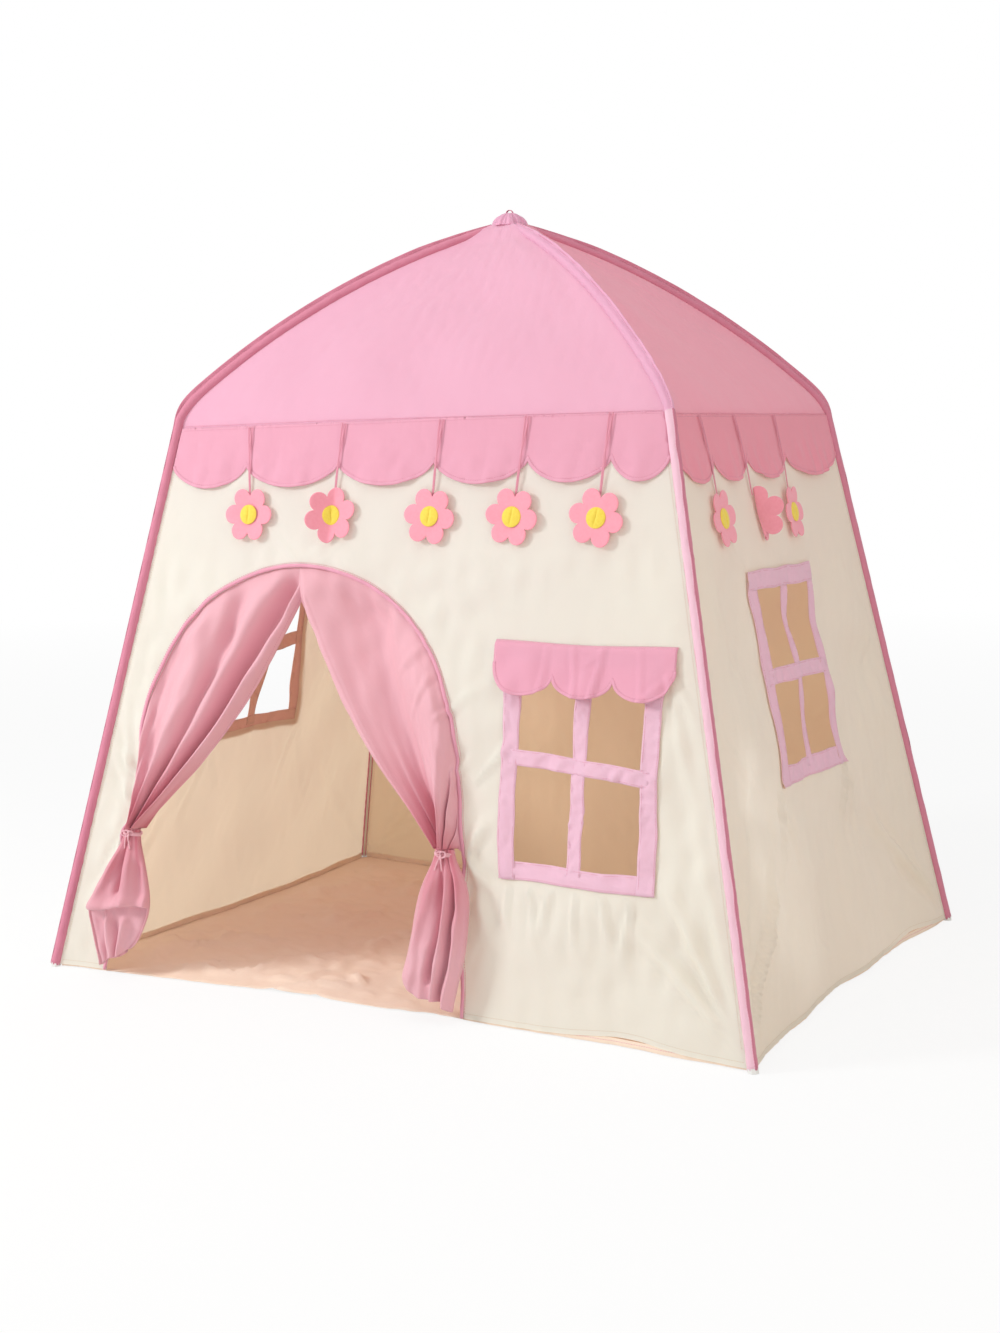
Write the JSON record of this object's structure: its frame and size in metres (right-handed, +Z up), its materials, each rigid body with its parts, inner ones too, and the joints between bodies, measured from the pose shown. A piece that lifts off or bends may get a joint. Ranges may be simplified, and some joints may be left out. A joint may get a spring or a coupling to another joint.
{
  "type": "kids play tent",
  "caption": "Fabric play house on a four-pole frame with a bowed hip roof, an arched doorway with tied curtains, cross-barred windows, scalloped valance and hanging felt flowers.",
  "frame": {"origin": "middle of the footprint on the ground, under the apex", "axes": "+Z up to the apex, -Y out of the doorway, +X to the right as seen facing the doorway"},
  "size_m": [1.3178, 1.0323, 1.3007],
  "materials": {
    "pole_plastic": "smooth white plastic tube",
    "fitting_plastic": "moulded grey plastic",
    "sleeve_cloth": "deep pink bound sleeve",
    "cream_cotton": "cream cotton canvas, plain weave",
    "roof_cloth": "pink woven cloth",
    "trim_cloth": "pink woven cloth with a stitched hem",
    "floor_cloth": "thin cream cloth, creased",
    "frame_cloth": "pink strips with stitched edges",
    "curtain_cloth": "thin pink woven cloth, gathered",
    "tie_cord": "soft pale pink cord",
    "pink_felt": "pressed pink felt, matt",
    "yellow_felt": "pressed yellow felt, matt",
    "ribbon": "narrow pale pink ribbon"
  },
  "bodies": {
    "shelter": {"apex_hub": "fitting_plastic", "apex_loop": "roof_cloth", "corner_sleeve_back_left": "sleeve_cloth", "corner_sleeve_back_right": "sleeve_cloth", "corner_sleeve_front_left": "sleeve_cloth", "corner_sleeve_front_right": "sleeve_cloth", "door_curtain_left": "curtain_cloth", "door_curtain_right": "curtain_cloth", "door_piping": "trim_cloth", "eave_elbow_back_left": "fitting_plastic", "eave_elbow_back_right": "fitting_plastic", "eave_elbow_front_left": "fitting_plastic", "eave_elbow_front_right": "fitting_plastic", "floor_sheet": "floor_cloth", "leg_pole_lower_back_left": "pole_plastic", "leg_pole_lower_back_right": "pole_plastic", "leg_pole_lower_front_left": "pole_plastic", "leg_pole_lower_front_right": "pole_plastic", "leg_pole_upper_back_left": "pole_plastic", "leg_pole_upper_back_right": "pole_plastic", "leg_pole_upper_front_left": "pole_plastic", "leg_pole_upper_front_right": "pole_plastic", "roof_panel_back": "roof_cloth", "roof_panel_front": "roof_cloth", "roof_panel_left": "roof_cloth", "roof_panel_right": "roof_cloth", "roof_pole_back_left": "pole_plastic", "roof_pole_back_right": "pole_plastic", "roof_pole_front_left": "pole_plastic", "roof_pole_front_right": "pole_plastic", "valance_back": "trim_cloth", "valance_front": "trim_cloth", "valance_left": "trim_cloth", "valance_right": "trim_cloth", "wall_back": "cream_cotton", "wall_front": "cream_cotton", "wall_left": "cream_cotton", "wall_right": "cream_cotton", "window_frame_front": "frame_cloth", "window_frame_left": "frame_cloth", "window_frame_right": "frame_cloth"},
    "curtain_left": {"curtain_tail_left": "curtain_cloth", "curtain_tie_left": "tie_cord"},
    "curtain_right": {"curtain_tail_right": "curtain_cloth", "curtain_tie_right": "tie_cord"},
    "flower_front_1": {"flower_front_1": "pink_felt"},
    "flower_front_2": {"flower_front_2": "pink_felt"},
    "flower_front_3": {"flower_front_3": "pink_felt"},
    "flower_front_4": {"flower_front_4": "pink_felt"},
    "flower_front_5": {"flower_front_5": "pink_felt"},
    "flower_left_1": {"flower_left_1": "pink_felt"},
    "flower_left_2": {"flower_left_2": "pink_felt"},
    "flower_left_3": {"flower_left_3": "pink_felt"},
    "flower_right_1": {"flower_right_1": "pink_felt"},
    "flower_right_2": {"flower_right_2": "pink_felt"},
    "flower_right_3": {"flower_right_3": "pink_felt"},
    "awning": {"window_awning": "frame_cloth"}
  },
  "joints": [
    {"name": "flower_front_1_lift", "type": "hinge", "parent": "shelter", "child": "flower_front_1", "pos_m": [-0.30497, -0.35635, 0.93301], "axis": [-1, -0.0005, 0], "range_deg": [0, 110]},
    {"name": "flower_front_2_lift", "type": "hinge", "parent": "shelter", "child": "flower_front_2", "pos_m": [-0.1189, -0.35628, 0.933], "axis": [-1, -0.0002, 0], "range_deg": [0, 110]},
    {"name": "flower_front_3_lift", "type": "hinge", "parent": "shelter", "child": "flower_front_3", "pos_m": [0.06444, -0.35627, 0.933], "axis": [-1, 0.0001, 0], "range_deg": [0, 110]},
    {"name": "flower_front_4_lift", "type": "hinge", "parent": "shelter", "child": "flower_front_4", "pos_m": [0.21784, -0.35631, 0.933], "axis": [-1, 0.0004, 0], "range_deg": [0, 110]},
    {"name": "flower_front_5_lift", "type": "hinge", "parent": "shelter", "child": "flower_front_5", "pos_m": [0.36079, -0.35638, 0.93302], "axis": [-1, 0.0006, 0], "range_deg": [0, 110]},
    {"name": "flower_right_1_lift", "type": "hinge", "parent": "shelter", "child": "flower_right_1", "pos_m": [0.4638, -0.25138, 0.92547], "axis": [0.0009, -1, 0], "range_deg": [0, 110]},
    {"name": "flower_right_2_lift", "type": "hinge", "parent": "shelter", "child": "flower_right_2", "pos_m": [0.46371, -0.10823, 0.92546], "axis": [0.0004, -1, 0], "range_deg": [0, 110]},
    {"name": "flower_right_3_lift", "type": "hinge", "parent": "shelter", "child": "flower_right_3", "pos_m": [0.4637, 0.06983, 0.92545], "axis": [-0.0002, -1, 0], "range_deg": [0, 110]},
    {"name": "flower_left_1_lift", "type": "hinge", "parent": "shelter", "child": "flower_left_1", "pos_m": [-0.4637, 0.06983, 0.92545], "axis": [-0.0002, 1, 0], "range_deg": [0, 110]},
    {"name": "flower_left_2_lift", "type": "hinge", "parent": "shelter", "child": "flower_left_2", "pos_m": [-0.46371, -0.10823, 0.92546], "axis": [0.0004, 1, 0], "range_deg": [0, 110]},
    {"name": "flower_left_3_lift", "type": "hinge", "parent": "shelter", "child": "flower_left_3", "pos_m": [-0.4638, -0.25138, 0.92547], "axis": [0.0009, 1, 0], "range_deg": [0, 110]},
    {"name": "awning_lift", "type": "hinge", "parent": "shelter", "child": "awning", "pos_m": [0.33894, -0.40552, 0.59622], "axis": [-0.9998, 0.02, 0], "range_deg": [0, 150]},
    {"name": "curtain_left_draw", "type": "slide", "parent": "shelter", "child": "curtain_left", "axis": [1, 0, 0], "range_m": [0, 0.24], "deforming": ["door_curtain_left"]},
    {"name": "curtain_right_draw", "type": "slide", "parent": "shelter", "child": "curtain_right", "axis": [-1, 0, 0], "range_m": [0, 0.23], "deforming": ["door_curtain_right"]}
  ]
}
